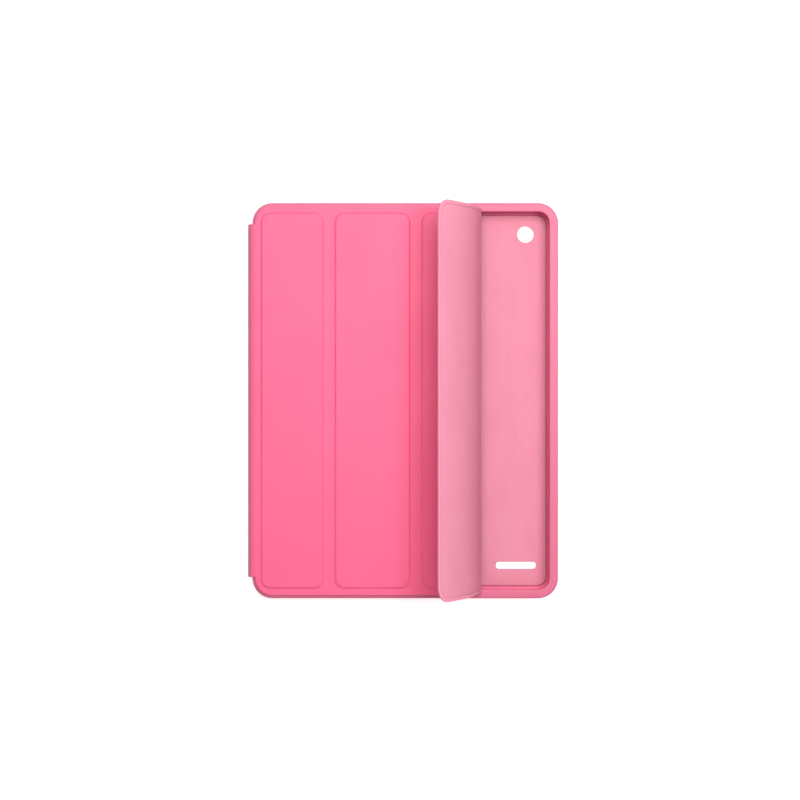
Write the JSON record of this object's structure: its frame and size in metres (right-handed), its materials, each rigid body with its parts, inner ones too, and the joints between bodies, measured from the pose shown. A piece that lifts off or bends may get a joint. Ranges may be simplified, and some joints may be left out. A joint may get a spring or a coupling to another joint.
{
  "type": "tablet case",
  "caption": "Book-style tablet case with a rigid leather-wrapped tray, a flexible spine and a folding four-panel cover.",
  "frame": {"origin": "centre of the tray's flat back, which the case lies on", "axes": "+Z out of the cover, away from the back; +Y towards the top edge; +X from the spine to the tray's free side"},
  "size_m": [0.1942, 0.2475, 0.0525],
  "materials": {
    "leather": "smooth fine-grained pink leather, semi-matt",
    "microfibre": "short-napped pale pink microfibre",
    "tray_plastic": "moulded, fine texture",
    "key_plastic": "moulded, satin",
    "board": "pressed fibre board",
    "magnet": "nickel plated"
  },
  "bodies": {
    "shell": {"back_plate": "tray_plastic", "wall_frame": "tray_plastic", "lip_frame": "tray_plastic", "shell_skin": "leather", "shell_lining": "microfibre"},
    "power_key": {"power_key": "key_plastic"},
    "volume_up_key": {"volume_up_key": "key_plastic"},
    "volume_down_key": {"volume_down_key": "key_plastic"},
    "spine": {"spine_skin": "leather", "spine_board": "board", "spine_lining": "microfibre", "rear_hinge_strip": "leather"},
    "panel_1": {"panel_1_skin": "leather", "panel_1_board": "board", "panel_1_lining": "microfibre", "front_hinge_strip": "leather", "stand_magnet_1": "magnet", "stand_magnet_2": "magnet", "stand_magnet_3": "magnet"},
    "panel_2": {"panel_2_skin": "leather", "panel_2_board": "board", "panel_2_lining": "microfibre", "fold_1_skin": "leather", "fold_1_lining": "microfibre"},
    "panel_3": {"panel_3_skin": "leather", "panel_3_board": "board", "panel_3_lining": "microfibre", "fold_2_skin": "leather", "fold_2_lining": "microfibre", "fold_3_skin": "leather", "fold_3_lining": "microfibre"},
    "panel_4": {"panel_4_skin": "leather", "panel_4_board": "board", "panel_4_lining": "microfibre", "latch_magnet_1": "magnet", "latch_magnet_2": "magnet", "latch_magnet_3": "magnet", "latch_magnet_4": "magnet", "latch_magnet_5": "magnet", "latch_magnet_6": "magnet", "wake_magnet": "magnet"}
  },
  "joints": [
    {"name": "spine_hinge", "type": "hinge", "parent": "shell", "child": "spine", "pos_m": [-0.097, 0, 0.0019], "axis": [0, -1, 0], "range_deg": [0, 90], "deforming": ["rear_hinge_strip"]},
    {"name": "cover_hinge", "type": "hinge", "parent": "spine", "child": "panel_1", "pos_m": [-0.097, 0, 0.0142], "axis": [0, -1, 0], "range_deg": [0, 90], "deforming": ["front_hinge_strip"]},
    {"name": "fold_1", "type": "hinge", "parent": "panel_1", "child": "panel_2", "pos_m": [-0.0474, 0, 0.0148], "axis": [0, 1, 0], "range_deg": [-133, 0], "deforming": ["fold_1_skin", "fold_1_lining"]},
    {"name": "fold_2", "type": "hinge", "parent": "panel_2", "child": "panel_3", "pos_m": [0.0066, 0, 0.0148], "axis": [0, 1, 0], "range_deg": [-100, 0], "deforming": ["fold_2_skin", "fold_2_lining"]},
    {"name": "fold_3", "type": "hinge", "parent": "panel_3", "child": "panel_4", "pos_m": [0.047, 0, 0.0148], "axis": [0, 1, 0], "range_deg": [-8, 127], "deforming": ["fold_3_skin", "fold_3_lining"]},
    {"name": "power_press", "type": "slide", "parent": "shell", "child": "power_key", "axis": [0, -1, 0], "range_m": [0, 0.0005], "stiffness_N_per_m": 400},
    {"name": "volume_up_press", "type": "slide", "parent": "shell", "child": "volume_up_key", "axis": [-1, 0, 0], "range_m": [0, 0.0005], "stiffness_N_per_m": 400},
    {"name": "volume_down_press", "type": "slide", "parent": "shell", "child": "volume_down_key", "axis": [-1, 0, 0], "range_m": [0, 0.0005], "stiffness_N_per_m": 400}
  ]
}
